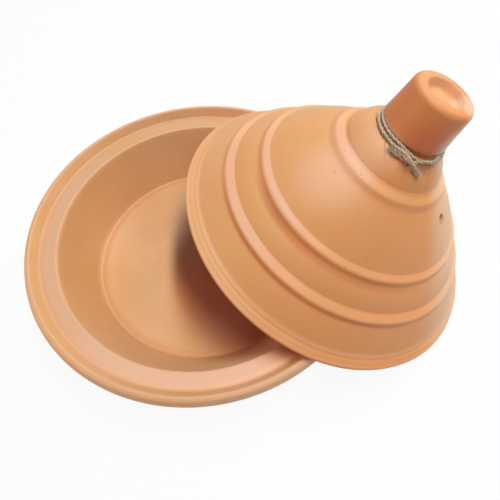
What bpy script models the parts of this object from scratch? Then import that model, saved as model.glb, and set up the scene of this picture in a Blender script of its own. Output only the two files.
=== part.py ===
"""A terracotta tagine: a wide base dish, and its tall stepped lid lifted off and leaning on the dish.

Everything is turned about an axis, as it is thrown on the wheel. Metres, +Z up, and the origin is
the centre of the dish's flat foot. The lid is drawn upright in its own frame and then leant over.
"""

import math

import bmesh
import bpy
import numpy as np
from mathutils import Matrix, Vector

# The lid's rim, which also sets the seat, the lip and the width of the dish
LID_RADIUS = 0.1204
RIM_FOOT = 0.0075
RIM_EDGE = 0.0009
RIM_BAND = 0.0020
FOOT_ROUND = 0.0015
FASCIA_RUN = 0.0070
FASCIA_RISE = 0.0058

# The lid's tiers, from one ridge up to the next, and the ridges themselves
LOW_TIER = 0.0205
MIDDLE_TIER = 0.0199
TOP_TIER = 0.0336
SHOULDER_TIER = 0.0185
SHELL_BELLY = 0.35
LEDGE_RISE = 0.0031
LEDGE_ROUND = 0.0024
STEP_DEPTH = 0.0030
SHOULDER_BOW = 0.0018
TOP_BOW = 0.0012
MIDDLE_BOW = 0.0008
LOW_BOW = 0.0005
NOSE_ROUND = 0.0020
NOSE_OUT = 0.0007
NOSE_DROP = 0.0007
COVE_IN = 0.0006
COVE_DROP = 0.0039
COVE_ROUND = 0.0045
LID_WALL = 0.0070
CAVITY_CAP = 0.0050
CAVITY_TIP_RADIUS = 0.0052
CAVITY_CORNERS = 8

# The neck, the twine that is tied round it, and the knob
NECK_RADIUS = 0.0209
NECK_COVE = 0.0045
KNOB_BASE_RADIUS = 0.0230
KNOB_TOP_RADIUS = 0.0206
KNOB_HEIGHT = 0.0273
KNOB_ROUND = 0.0032
DISH_RADIUS = 0.0138
DISH_FLOOR_RADIUS = 0.0088
DISH_DEPTH = 0.0038
TWINE_DIAMETER = 0.0022
TWINE_GAP = 0.0006
TWINE_TURNS = 2
LEVEL_DROP = 0.0031
STEP_ANGLE = -23.0
STEP_SPAN = 47.0
KNOT_ANGLE = -118.0
FIRST_TURN_POINT = 4

# The steam vent through the lid's wall
VENT_RADIUS = 0.0031
VENT_RISE = 0.0228
VENT_ANGLE = -47.0

# The base dish
SEAT_MARGIN = 0.0010
MOAT_WIDTH = 0.0036
MOAT_DEPTH = 0.0012
LIP_WIDTH = 0.0100
LIP_RISE = 0.0078
LIP_ROUND = 0.0019
LIP_CROWN = 0.0018
LIP_SET_IN = 0.0045
BELLY_DROP = 0.0063
BOWL_DEPTH = 0.0424
WALL_FLARE = 0.0214
BASE_WALL = 0.0084
BASE_BOTTOM = 0.0082
FOOT_EDGE = 0.0016
FLOOR_CROWN = 0.0008
FLOOR_BAND = 0.0048
SEAT_ROUND = 0.0048
BELLY_ROUND = 0.0025
UNDERCUT = 0.0042

# How the lid leans on the dish, and the gap left between pieces that touch
LEAN_ANGLE = 22.4
TOUCH_GAP = 0.0003

# Facets
STEPS_AROUND = 60
TURN_POINTS = 24
CLAY_COLOUR = (0.72, 0.36, 0.16, 1.0)
TWINE_COLOUR = (0.40, 0.31, 0.19, 1.0)


def fillet(corners):
    """Round each corner (radius, height, round, pieces) with an arc that touches both its sides."""
    points = [Vector(corners[0][:2])]
    for before, corner, after in zip(corners, corners[1:], corners[2:]):
        here = Vector(corner[:2])
        if len(corner) < 3:
            points.append(here)
            continue
        back = Vector(before[:2]) - here
        onward = Vector(after[:2]) - here
        half = back.angle(onward) / 2.0
        reach = min(corner[2] / math.tan(half), 0.48 * back.length, 0.48 * onward.length)
        radius = reach * math.tan(half)
        middle = here + (back.normalized() + onward.normalized()).normalized() * (radius / math.sin(half))
        start = here + back.normalized() * reach - middle
        end = here + onward.normalized() * reach - middle
        turn = start.angle_signed(end)
        for k in range(corner[3] + 1):
            angle = -turn * k / corner[3]
            cosine, sine = math.cos(angle), math.sin(angle)
            points.append(middle + Vector((start.x * cosine - start.y * sine,
                                           start.x * sine + start.y * cosine)))
    points.append(Vector(corners[-1][:2]))
    return points


def bow(start, end, rise, pieces):
    """Corners between start and end on a shallow arc whose middle stands out from the chord by rise."""
    (r0, h0), (r1, h1) = start[:2], end[:2]
    length = math.hypot(r1 - r0, h1 - h0)
    corners = []
    for k in range(1, pieces):
        t = k / pieces
        out = 4.0 * rise * t * (1.0 - t)
        corners.append((r0 + (r1 - r0) * t + (h0 - h1) / length * out,
                        h0 + (h1 - h0) * t - (r0 - r1) / length * out))
    return corners


def clay(name, colour, roughness):
    """One plain material with the piece's colour."""
    material = bpy.data.materials.new(name)
    material.use_nodes = True
    shader = material.node_tree.nodes["Principled BSDF"]
    shader.inputs["Base Color"].default_value = colour
    shader.inputs["Roughness"].default_value = roughness
    shader.inputs["Metallic"].default_value = 0.0
    return material


def turned(name, points, material):
    """Turn a profile, which runs down its outer side, once round the Z axis."""
    mesh = bpy.data.meshes.new(name)
    vertices = [(p.x, 0.0, p.y) for p in points]
    mesh.from_pydata(vertices, [(k, k + 1) for k in range(len(points) - 1)], [])
    piece = bpy.data.objects.new(name, mesh)
    bpy.context.scene.collection.objects.link(piece)
    screw = piece.modifiers.new("Turn", "SCREW")
    screw.axis = "Z"
    screw.angle = 2.0 * math.pi
    screw.steps = STEPS_AROUND
    screw.render_steps = STEPS_AROUND
    screw.use_merge_vertices = True
    screw.merge_threshold = 0.00002
    screw.use_smooth_shade = True
    mesh.materials.append(material)
    return piece


# Heights up the lid's own axis, from the plane that its rim stands on
LOW_RIDGE = FASCIA_RISE + LOW_TIER
MIDDLE_RIDGE = LOW_RIDGE + MIDDLE_TIER
TOP_RIDGE = MIDDLE_RIDGE + TOP_TIER
SHOULDER_TOP = TOP_RIDGE + SHOULDER_TIER
TWINE_PITCH = TWINE_DIAMETER + TWINE_GAP
WINDING_RISE = TWINE_PITCH * TWINE_TURNS
KNOB_BASE = SHOULDER_TOP + WINDING_RISE - TWINE_PITCH / 2.0 + TOUCH_GAP
KNOB_TOP = KNOB_BASE + KNOB_HEIGHT


def shell_radius(height):
    """The lid's main curve: a cone from the fascia to the neck that bellies out low down."""
    t = (height - FASCIA_RISE) / (SHOULDER_TOP - FASCIA_RISE)
    wide = LID_RADIUS - FASCIA_RUN
    return NECK_RADIUS + (wide - NECK_RADIUS) * ((1.0 - t) + SHELL_BELLY * t * (1.0 - t) ** 2)


def ridge(height):
    """A ridge's crease, its nose on the lid's main curve and the cove under it, from the top down."""
    radius = shell_radius(height)
    above = height + LEDGE_RISE
    return [(shell_radius(above) - STEP_DEPTH, above, LEDGE_ROUND, 2),
            (radius + NOSE_OUT, height - NOSE_DROP, NOSE_ROUND, 3),
            (radius - COVE_IN, height - COVE_DROP, COVE_ROUND, 3)]


def neck_corners():
    """From the knob's lower edge down the neck and the rounded shoulder to the top ridge's crease."""
    crease = ridge(TOP_RIDGE)[0]
    corners = [(NECK_RADIUS, KNOB_BASE - TOUCH_GAP),
               (NECK_RADIUS, SHOULDER_TOP, NECK_COVE, 4)]
    return corners + bow(corners[-1], crease, SHOULDER_BOW, 4) + [crease]


def lid_profile():
    """Down the knob and the stepped outside, across the rim's foot and up the smooth inside."""
    corners = [(0.0, KNOB_TOP - DISH_DEPTH + FLOOR_CROWN),
               (DISH_FLOOR_RADIUS, KNOB_TOP - DISH_DEPTH, KNOB_ROUND, 2),
               (DISH_RADIUS, KNOB_TOP, KNOB_ROUND / 2.0, 2),
               (KNOB_TOP_RADIUS, KNOB_TOP, KNOB_ROUND, 4),
               (KNOB_BASE_RADIUS, KNOB_BASE, RIM_EDGE, 2)]
    corners += neck_corners()[:-1]
    tiers = ((TOP_RIDGE, TOP_BOW, 4), (MIDDLE_RIDGE, MIDDLE_BOW, 2), (LOW_RIDGE, LOW_BOW, 2))
    below = [ridge(MIDDLE_RIDGE)[0], ridge(LOW_RIDGE)[0], (LID_RADIUS - FASCIA_RUN, FASCIA_RISE)]
    for (height, rise, pieces), next_corner in zip(tiers, below):
        steps = ridge(height)
        corners += steps + bow(steps[-1], next_corner, rise, pieces)
    corners += [(LID_RADIUS - FASCIA_RUN, FASCIA_RISE, RIM_EDGE, 2),
                (LID_RADIUS, RIM_BAND, RIM_EDGE, 2),
                (LID_RADIUS, 0.0, RIM_EDGE, 2),
                (LID_RADIUS - RIM_FOOT, 0.0, FOOT_ROUND, 3)]
    cavity_top = SHOULDER_TOP - CAVITY_CAP
    slant = math.sqrt(2.0)
    for height in np.linspace(FASCIA_RISE, cavity_top, CAVITY_CORNERS):
        inside = max(shell_radius(height) - slant * LID_WALL, CAVITY_TIP_RADIUS)
        corners.append((min(inside, LID_RADIUS - RIM_FOOT), height))
    corners.append((CAVITY_TIP_RADIUS / 2.0, cavity_top + 0.8 * CAVITY_CAP))
    corners.append((0.0, cavity_top + CAVITY_CAP))
    return fillet(corners)


# Places on the dish, out from its axis and up from its foot
BOWL_RADIUS = LID_RADIUS - RIM_FOOT - SEAT_MARGIN
SEAT_CROWN = LID_RADIUS + SEAT_MARGIN
MOAT_RADIUS = SEAT_CROWN + MOAT_WIDTH
BASE_RADIUS = MOAT_RADIUS + LIP_WIDTH
FLOOR_RADIUS = BOWL_RADIUS - WALL_FLARE
SEAT_HEIGHT = BASE_BOTTOM + BOWL_DEPTH
BASE_HEIGHT = SEAT_HEIGHT + LIP_RISE
LIP_RADIUS = BASE_RADIUS - LIP_SET_IN


def base_profile():
    """Across the floor, up the wall, over the seat, moat and lip, down the outside to the foot."""
    under_lip = SEAT_HEIGHT - BASE_WALL
    corners = [(0.0, BASE_BOTTOM + FLOOR_CROWN),
               (FLOOR_RADIUS - FLOOR_BAND, BASE_BOTTOM + FLOOR_CROWN, FLOOR_BAND, 2),
               (FLOOR_RADIUS, BASE_BOTTOM, FOOT_EDGE / 2.0, 2)]
    corners += [(BOWL_RADIUS, SEAT_HEIGHT, FOOT_EDGE, 3),
                (SEAT_CROWN, SEAT_HEIGHT + MOAT_DEPTH / 2.0, SEAT_ROUND, 3),
                (MOAT_RADIUS, SEAT_HEIGHT - MOAT_DEPTH / 2.0, FOOT_EDGE, 3),
                (LIP_RADIUS - LIP_CROWN, BASE_HEIGHT, LIP_ROUND, 4),
                (LIP_RADIUS + LIP_CROWN, BASE_HEIGHT, LIP_ROUND, 4),
                (BASE_RADIUS, BASE_HEIGHT - BELLY_DROP, BELLY_ROUND, 3),
                (BASE_RADIUS - BELLY_ROUND, under_lip + UNDERCUT / 2.0, BELLY_ROUND, 2),
                (BOWL_RADIUS + BASE_WALL, under_lip - UNDERCUT / 2.0, BASE_WALL, 3),
                (FLOOR_RADIUS + BASE_WALL, FOOT_EDGE, FOOT_EDGE, 2),
                (FLOOR_RADIUS + BASE_WALL - FOOT_EDGE, 0.0),
                (0.0, 0.0)]
    return fillet(corners)


def vent_cutter():
    """A round bar square to the wall of the top tier, which pierces the steam vent."""
    height = MIDDLE_RIDGE + VENT_RISE
    slope = (shell_radius(height + STEP_DEPTH) - shell_radius(height - STEP_DEPTH)) / (2.0 * STEP_DEPTH)
    outward = Vector((1.0, 0.0, -slope)).normalized()
    mesh = bpy.data.meshes.new("vent_cutter")
    shape = bmesh.new()
    bmesh.ops.create_cone(shape, cap_ends=True, segments=16, radius1=VENT_RADIUS, radius2=VENT_RADIUS,
                          depth=6.0 * LID_WALL)
    shape.to_mesh(mesh)
    shape.free()
    cutter = bpy.data.objects.new("vent_cutter", mesh)
    bpy.context.scene.collection.objects.link(cutter)
    cutter.hide_render = True
    cutter.display_type = "WIRE"
    turn = Matrix.Rotation(math.radians(VENT_ANGLE), 4, "Z")
    place = Matrix.Translation((shell_radius(height), 0.0, height))
    aim = Vector((0.0, 0.0, 1.0)).rotation_difference(outward).to_matrix().to_4x4()
    mesh.transform(turn @ place @ aim)
    return cutter


def twine_line():
    """The line that stands half a twine and the touching gap off the neck and the shoulder."""
    surface = fillet(neck_corners())
    off = TWINE_DIAMETER / 2.0 + TOUCH_GAP
    line = []
    for before, here, after in zip(surface[:1] + surface, surface, surface[1:] + surface[-1:]):
        down = (after - before).normalized()
        line.append(here + off * Vector((-down.y, down.x)))
    return line


def levels_down(angle):
    """How many levels down the twine lies: each turn lies flat, and steps down behind the knot."""
    levels = 0.0
    for turn in range(1, TWINE_TURNS):
        t = min(1.0, max(0.0, (angle - 360.0 * turn - STEP_ANGLE) / STEP_SPAN))
        levels += t * t * (3.0 - 2.0 * t)
    return levels


def twine_route():
    """The twine's centre line in the lid's frame: a free end, the turns, and the other free end.

    A place is (angle from the knot, way down the twine's line from the knob, lift off the line).
    """
    line = twine_line()
    ways = [0.0]
    for a, b in zip(line, line[1:]):
        ways.append(ways[-1] + (b - a).length)
    sag = 1.0 / math.cos(math.pi / TURN_POINTS)

    def place(angle, way, lift):
        r, h = (np.interp(way, ways, column) for column in zip(*line))
        r_up, h_up = (np.interp(way - TWINE_DIAMETER, ways, column) for column in zip(*line))
        r_low, h_low = (np.interp(way + TWINE_DIAMETER, ways, column) for column in zip(*line))
        size = math.hypot(r_low - r_up, h_low - h_up)
        r = (r + (h_up - h_low) / size * lift) * sag
        h = h + (r_low - r_up) / size * lift
        turn = math.radians(KNOT_ANGLE + angle)
        return Vector((r * math.cos(turn), r * math.sin(turn), h))

    over = TWINE_PITCH
    top = TWINE_DIAMETER / 2.0 + TOUCH_GAP
    low = top + LEVEL_DROP * (TWINE_TURNS - 1)
    first_end = [(-20.0, low + 1.02 * over, 0.0), (-13.0, low + 1.06 * over, 0.0),
                 (-6.0, low + 1.12 * over, 0.0), (2.0, low + 1.15 * over, 0.0),
                 (10.0, low + 0.95 * over, 0.12 * over), (18.0, low + 0.60 * over, 0.70 * over),
                 (26.0, low + 0.15 * over, 1.15 * over), (34.0, low - 0.35 * over, 1.30 * over),
                 (42.0, top + 0.25 * over, 1.10 * over), (50.0, top, 0.50 * over)]
    count = TURN_POINTS * TWINE_TURNS
    angles = [360.0 * k / TURN_POINTS for k in range(FIRST_TURN_POINT, count - 2)]
    turns = [(angle, top + LEVEL_DROP * levels_down(angle), 0.0) for angle in angles]
    last = 360.0 * TWINE_TURNS
    second_end = [(last - 24.0, low, 0.0),
                  (last - 17.0, low + 0.03 * over, 0.36 * over),
                  (last - 10.0, low + 0.15 * over, 0.95 * over),
                  (last - 3.0, low + 0.50 * over, 1.35 * over),
                  (last + 4.0, low + 1.00 * over, 1.35 * over),
                  (last + 10.0, low + 1.45 * over, 1.08 * over),
                  (last + 15.0, low + 1.80 * over, 0.55 * over),
                  (last + 20.0, low + 2.15 * over, 0.05 * over),
                  (last + 24.0, low + 2.50 * over, 0.0)]
    return [place(*p) for p in first_end + turns + second_end]


def least_gap(points):
    """The least gap of the twine to itself, surface to surface, on points along its centre line."""
    fine = []
    for a, b in zip(points, points[1:]):
        fine += [a.lerp(b, k / 8.0) for k in range(8)]
    xyz = np.array([p[:] for p in fine])
    along = np.concatenate([[0.0], np.cumsum(np.linalg.norm(np.diff(xyz, axis=0), axis=1))])
    apart = np.linalg.norm(xyz[:, None] - xyz[None], axis=2)
    near = np.abs(along[:, None] - along[None]) < 3.0 * TWINE_DIAMETER
    return float(np.where(near, 1.0, apart).min() - TWINE_DIAMETER)


def gap_to_outline(r, h, outline):
    """Least way from points (r, h) to a closed outline, less than nothing if one is inside it."""
    a = np.array([p[:] for p in outline])
    b = np.roll(a, -1, axis=0)
    way = b - a
    point = np.stack([r, h], axis=1)[:, None]
    share = np.clip(((point - a) * way).sum(axis=2) / (way ** 2).sum(axis=1), 0.0, 1.0)
    apart = np.linalg.norm(point - a - share[..., None] * way, axis=2)
    spans = (a[:, 1] > h[:, None]) != (b[:, 1] > h[:, None])
    rise = np.where(way[:, 1] == 0.0, 1.0, way[:, 1])
    crossed = spans & (r[:, None] < a[:, 0] + (h[:, None] - a[:, 1]) / rise * way[:, 0])
    inside = crossed.sum(axis=1) % 2 == 1
    return -float(apart[inside].min()) if inside.any() else float(apart.min())


def rest_place():
    """Where the lid's rim centre lies: its rim on the table, and its foot on the dish's lip.

    The rim touches the table at its lowest point. The lid is then slid along X until the dish's
    surface, as the lid's own axis sees it, comes as near to the lid's outline as the touching gap.
    """
    lean = math.radians(LEAN_ANGLE)
    height = (LID_RADIUS - RIM_EDGE) * math.sin(lean) + RIM_EDGE * (1.0 - math.cos(lean)) + TOUCH_GAP
    outline = lid_profile()
    rim = [p for p in base_profile() if p.x > BOWL_RADIUS]
    turn = np.linspace(0.0, math.pi, 361)[:, None]
    x = (np.array([p.x for p in rim]) * np.cos(turn)).ravel()
    y = (np.array([p.x for p in rim]) * np.sin(turn)).ravel()
    z = (np.array([p.y for p in rim]) + 0.0 * turn).ravel() - height
    near, far = 0.0, BASE_RADIUS + LID_RADIUS
    while far - near > TOUCH_GAP / 30.0:
        middle = (near + far) / 2.0
        sideways = (x - middle) * math.cos(lean) - z * math.sin(lean)
        up = (x - middle) * math.sin(lean) + z * math.cos(lean)
        if gap_to_outline(np.hypot(sideways, y), up, outline) > TOUCH_GAP:
            far = middle
        else:
            near = middle
    return Vector((far, 0.0, height)), lean


def main():
    for thing in list(bpy.data.objects):
        bpy.data.objects.remove(thing, do_unlink=True)

    turned("base_dish", base_profile(), clay("fired clay of the dish", CLAY_COLOUR, 0.85))
    lid = turned("lid", lid_profile(), clay("fired clay of the lid", CLAY_COLOUR, 0.85))
    cutter = vent_cutter()
    pierce = lid.modifiers.new("Steam vent", "BOOLEAN")
    pierce.object = cutter
    pierce.solver = "EXACT"
    pierce.operation = "DIFFERENCE"

    route = twine_route()
    curve = bpy.data.curves.new("neck_twine", "CURVE")
    curve.dimensions = "3D"
    curve.bevel_depth = TWINE_DIAMETER / 2.0
    curve.bevel_resolution = 1
    curve.use_fill_caps = True
    spline = curve.splines.new("POLY")
    spline.points.add(len(route) - 1)
    for point, place in zip(spline.points, route):
        point.co = (*place, 1.0)
    curve.materials.append(clay("jute twine", TWINE_COLOUR, 0.95))
    twine = bpy.data.objects.new("neck_twine", curve)
    bpy.context.scene.collection.objects.link(twine)

    carrier = bpy.data.objects.new("lid_carrier", None)
    bpy.context.scene.collection.objects.link(carrier)
    for piece in (lid, cutter, twine):
        piece.parent = carrier
    carrier.location, lean = rest_place()
    carrier.rotation_euler = (0.0, lean, 0.0)

    length = sum((b - a).length for a, b in zip(route, route[1:]))
    print(f"lid rim centre at x {carrier.location.x * 1000:.2f} mm, z {carrier.location.z * 1000:.2f} mm")
    print(f"dish {BASE_RADIUS * 2000:.1f} mm across, {BASE_HEIGHT * 1000:.1f} mm high; "
          f"lid {LID_RADIUS * 2000:.1f} mm across, {KNOB_TOP * 1000:.1f} mm high")
    print(f"twine {length * 1000:.0f} mm long, least gap to itself {least_gap(route) * 1000:.2f} mm")


main()
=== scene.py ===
# %% [markdown]
# # A terracotta tagine, dressed for the camera
#
# A tagine is two pots: a wide dish, and a tall lid that stands in a seat round the dish's edge. Here
# the lid has been lifted off and leans on the dish, with a bit of jute twine tied round its neck.
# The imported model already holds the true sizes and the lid's lifting joint. This lesson gives each
# piece the fine surface, the fired clay and the light that the plain solids lack.

import math

import bpy
import numpy as np
from mathutils import Matrix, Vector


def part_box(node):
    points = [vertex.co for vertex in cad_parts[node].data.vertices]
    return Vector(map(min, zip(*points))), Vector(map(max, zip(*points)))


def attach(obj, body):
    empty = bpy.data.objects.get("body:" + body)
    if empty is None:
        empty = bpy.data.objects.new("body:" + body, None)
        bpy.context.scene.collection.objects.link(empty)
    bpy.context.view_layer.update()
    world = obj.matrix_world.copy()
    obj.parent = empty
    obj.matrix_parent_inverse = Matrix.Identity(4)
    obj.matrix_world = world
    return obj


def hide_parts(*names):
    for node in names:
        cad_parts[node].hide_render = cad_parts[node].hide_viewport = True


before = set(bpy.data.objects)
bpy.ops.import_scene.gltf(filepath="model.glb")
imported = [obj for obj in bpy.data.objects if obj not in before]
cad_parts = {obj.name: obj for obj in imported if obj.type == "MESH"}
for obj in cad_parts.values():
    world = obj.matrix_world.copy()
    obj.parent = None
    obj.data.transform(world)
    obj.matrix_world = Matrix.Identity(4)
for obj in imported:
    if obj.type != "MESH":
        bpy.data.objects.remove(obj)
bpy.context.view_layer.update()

# %% [markdown]
# ## The camera
#
# The picture was taken from close by, looking steeply down, and turned a little. A camera is easiest
# to place by three directions in the room: where its right, its top and its back point. Written as
# the columns of a matrix they turn the camera, and the lens follows from how strongly the round rims
# are foreshortened.

# %% Place the camera
camera_data = bpy.data.cameras.new("camera")
camera_data.sensor_width = 36.0
camera_data.lens = 30.96
camera_data.shift_x, camera_data.shift_y = -0.001, 0.0014
camera = bpy.data.objects.new("camera", camera_data)
bpy.context.scene.collection.objects.link(camera)
right = np.array([0.99535, -0.09308, -0.02463])
down = np.array([-0.09286, -0.86036, -0.50115])
ahead = np.array([0.02545, 0.50111, -0.86501])
view = np.eye(4)
view[:3, :3] = np.stack([right, -down, -ahead], axis=1)
view[:3, 3] = (0.02980, -0.18868, 0.33506)
camera.matrix_world = Matrix(view.tolist())
bpy.context.scene.camera = camera
bpy.context.scene.view_settings.view_transform = "Standard"
print("camera", [round(c, 3) for c in camera.location])

# %% [markdown]
# ## Profiles
#
# Both pots are thrown on a wheel, so each is one line, its profile, turned about an axis. A potter
# thinks of that line as a few corners that are rubbed round. The same few corners are written here
# in millimetres: how far out, how high, how round, and how finely the side after it is cut.

# %% Rub the corners of a profile round
def softened(corners, turn=11.0, most=0.48):
    """Points down a profile.

    A corner (out, up, round, cut) turns into an arc that starts and ends where it touches the two
    sides: along the first side by sin(angle) and towards the turn by 1 - cos(angle), times its
    radius. It takes at most the share `most` of either side, and its pieces are about `turn` degrees
    or `cut` millimetres long. The side that follows is cut into equal shares of about `cut`.
    """
    spots = np.array([c[:2] for c in corners], float)
    sides = np.diff(spots, axis=0)
    lengths = np.linalg.norm(sides, axis=1)
    along = sides / lengths[:, None]
    runs = [spots[:1]]
    for k in range(1, len(spots)):
        cut = corners[k - 1][3]
        if k == len(spots) - 1:
            arc = spots[-1:]
        else:
            cross = along[k - 1, 0] * along[k, 1] - along[k - 1, 1] * along[k, 0]
            bend = math.atan2(abs(cross), float(along[k - 1] @ along[k]))
            reach = corners[k][2] * math.tan(bend / 2.0)
            reach = min(reach, most * lengths[k - 1], most * lengths[k])
            radius = reach / max(math.tan(bend / 2.0), 1e-6)
            pieces = max(1, round(math.degrees(bend) / turn), round(radius * bend / cut))
            angle = np.linspace(0.0, bend, pieces + 1)[:, None]
            inwards = np.sign(cross) * np.array([-along[k - 1, 1], along[k - 1, 0]])
            start = spots[k] - reach * along[k - 1]
            arc = start + radius * (np.sin(angle) * along[k - 1] + (1.0 - np.cos(angle)) * inwards)
            if reach < 1e-6:
                arc = spots[k:k + 1]
        gap = np.linalg.norm(arc[0] - runs[-1][-1])
        shares = np.arange(1, max(1, round(gap / cut)))[:, None] / max(1, round(gap / cut))
        runs += [runs[-1][-1] + shares * (arc[0] - runs[-1][-1]), arc]
    return np.concatenate(runs)


# %% [markdown]
# ## Turning the profile
#
# Blender can spin a line, but a grid worked out with numpy gives more: every point keeps its two
# numbers, how far along the profile and how far round, and so a hole, a groove or a wavering edge
# is only a change of those numbers before the surface is worked out.

# %% Small helpers for lines and directions
def way_along(line):
    """How far along a line each of its points lies: the sum of the steps before it."""
    return np.concatenate([[0.0], np.cumsum(np.linalg.norm(np.diff(line, axis=0), axis=1))])


def unit(directions):
    """Directions made one long, each divided by its own length."""
    return directions / np.maximum(np.linalg.norm(directions, axis=-1, keepdims=True), 1e-9)


def ramp(values, start, length):
    """A share from 0 at start to 1 at start + length; with a negative length it falls instead."""
    return np.clip((values - start) / length, 0.0, 1.0)


# %% Turn a grid into a mesh
def quads(rows, columns):
    """Corner numbers of the squares of a grid that closes on itself across its columns."""
    first = np.arange(rows - 1)[:, None] * columns + np.arange(columns)
    second = np.arange(rows - 1)[:, None] * columns + (np.arange(columns) + 1) % columns
    return np.stack([first, first + columns, second + columns, second], axis=2)


def fans(rows, columns):
    """Triangles that close a grid's first and last row at two poles, numbered after its points."""
    around = np.arange(columns)
    onward = (around + 1) % columns
    pole = np.full(columns, rows * columns)
    last = (rows - 1) * columns
    return np.concatenate([np.stack([pole, around, onward], axis=1),
                           np.stack([pole + 1, last + onward, last + around], axis=1)])


def new_piece(name, points, faces, material):
    """Put points and faces (arrays of corner numbers, in groups of one size) into a smooth mesh."""
    used, corners = np.unique(np.concatenate([f.ravel() for f in faces]), return_inverse=True)
    sizes = np.concatenate([np.full(len(f), f.shape[1]) for f in faces])
    mesh = bpy.data.meshes.new(name)
    mesh.vertices.add(len(used))
    mesh.vertices.foreach_set("co", points[used].astype(np.float32).ravel())
    mesh.loops.add(len(corners))
    mesh.loops.foreach_set("vertex_index", corners.astype(np.int32).ravel())
    mesh.polygons.add(len(sizes))
    starts = np.concatenate([[0], np.cumsum(sizes)[:-1]])
    mesh.polygons.foreach_set("loop_start", starts.astype(np.int32))
    mesh.polygons.foreach_set("use_smooth", np.ones(len(sizes), bool))
    mesh.update(calc_edges=True)
    mesh.validate()
    mesh.materials.append(material)
    piece = bpy.data.objects.new(name, mesh)
    bpy.context.scene.collection.objects.link(piece)
    print(f"{name}: {len(used)} points, {len(sizes)} faces")
    return piece, used


def mark(piece, used, name, values):
    """Give every point of a piece one number, which its material can read by name."""
    layer = piece.data.attributes.new(name, "FLOAT", "POINT")
    layer.data.foreach_set("value", values[used].astype(np.float32))


def bent_outwards(profile, spread=2.0):
    """How proud each point of a profile stands: its height over the mean of two neighbours, clipped.

    The neighbours are `spread` away to each side along the profile. A height of 0.16 times the spread
    gives 1 already, so a ridge comes out near 1, and a crease near -1.
    """
    way = way_along(profile)
    near = np.stack([np.stack([np.interp(way + d, way, column) for column in profile.T], axis=1)
                     for d in (-spread, spread)])
    lift = profile - near.mean(axis=0)
    slope = near[1] - near[0]
    outwards = unit(np.stack([-slope[:, 1], slope[:, 0]], axis=1))
    return np.clip((lift * outwards).sum(axis=1) / (0.16 * spread), -1.0, 1.0)


# %% [markdown]
# ## Fired clay
#
# Unglazed terracotta is matt but not dead: a fine grain that catches the light, faint rings left by
# the wheel, patches where the kiln burnt it pinker, small pits and dark specks. The proud edges are
# painted paler, partly as the wear that hands and other pots leave and partly as a painted highlight,
# and the creases and the pits are painted darker as shade. All of this can be one set of nodes. The
# patterns need the pot's own axis, because the rings run round it, so a Mapping node first carries
# the points of the room into the pot. Each pot also gets a few tinted sides, which fade round the
# axis, and a few soft balls of tint. These are mostly painted light and shade: lighter where light
# falls, darker where shade falls, and paler where a highlight or sheen shows.

# %% A few helpers for materials
def tint(red, green, blue):
    """A colour written as on a screen, 0 to 255, as the linear light that shaders work with."""
    value = np.array([red, green, blue]) / 255.0
    linear = np.where(value <= 0.04045, value / 12.92, ((value + 0.055) / 1.055) ** 2.4)
    return (*linear.tolist(), 1.0)


class Nodes:
    """A short way to add nodes: each call makes one, sets its inputs and returns its first output."""

    def __init__(self, name):
        self.material = bpy.data.materials.new(name)
        self.material.use_nodes = True
        self.tree = self.material.node_tree
        self.shader = self.tree.nodes["Principled BSDF"]

    def add(self, kind, *inputs, output=0, **settings):
        """Set the settings of a new node first, and then link or set each of its (input, value)."""
        node = self.tree.nodes.new(kind)
        for key, value in settings.items():
            setattr(node, key, value)
        for key, value in inputs:
            if isinstance(value, bpy.types.NodeSocket):
                self.tree.links.new(value, node.inputs[key])
            else:
                node.inputs[key].default_value = value
        return node.outputs[output]

    def maths(self, operation, a, b=0.0):
        """One operation on one or two numbers."""
        return self.add("ShaderNodeMath", (0, a), (1, b), operation=operation)

    def stored(self, name):
        """The number that mark() gave to the points of a piece."""
        return self.add("ShaderNodeAttribute", attribute_name=name, output=2)

    def noise(self, vector, scale, detail=2.0, roughness=0.5):
        """A cloudy number near 0.5, whose clouds are about one metre over the scale wide."""
        return self.add("ShaderNodeTexNoise", ("Vector", vector), ("Scale", scale),
                        ("Detail", detail), ("Roughness", roughness))

    def between(self, value, low, high, to_low=0.0, to_high=1.0):
        """A number carried from low..high to to_low..to_high, with a soft start and end."""
        return self.add("ShaderNodeMapRange", ("Value", value), ("From Min", low), ("From Max", high),
                        ("To Min", to_low), ("To Max", to_high), interpolation_type="SMOOTHSTEP")

    def blend(self, share, a, b):
        """Colour a where the share is 0, and b where it is 1."""
        return self.add("ShaderNodeMix", (0, share), (6, a), (7, b), output=2, data_type="RGBA")


print("middle grey as light:", round(tint(128, 128, 128)[0], 3))

# %% A pot's own axes, its painted light and shade, and its pits
def own_axes(n, centre, lean):
    """Carry the points of the room into a pot that stands at centre and leans about Y.

    Gives the place as a vector, its three numbers, and its way from the axis, the root of x^2 + y^2.
    """
    back = Matrix.Rotation(-lean, 3, "Y")
    place = n.add("ShaderNodeTexCoord", output=3)
    inside = n.add("ShaderNodeMapping", ("Vector", place), ("Rotation", (0.0, -lean, 0.0)),
                   ("Location", tuple(-(back @ Matrix.Translation(centre).translation))))
    parts = n.tree.nodes.new("ShaderNodeSeparateXYZ")
    n.tree.links.new(inside, parts.inputs[0])
    x, y, z = parts.outputs
    radius = n.maths("SQRT", n.maths("ADD", n.maths("MULTIPLY", x, x), n.maths("MULTIPLY", y, y)))
    return inside, x, y, z, radius


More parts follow.
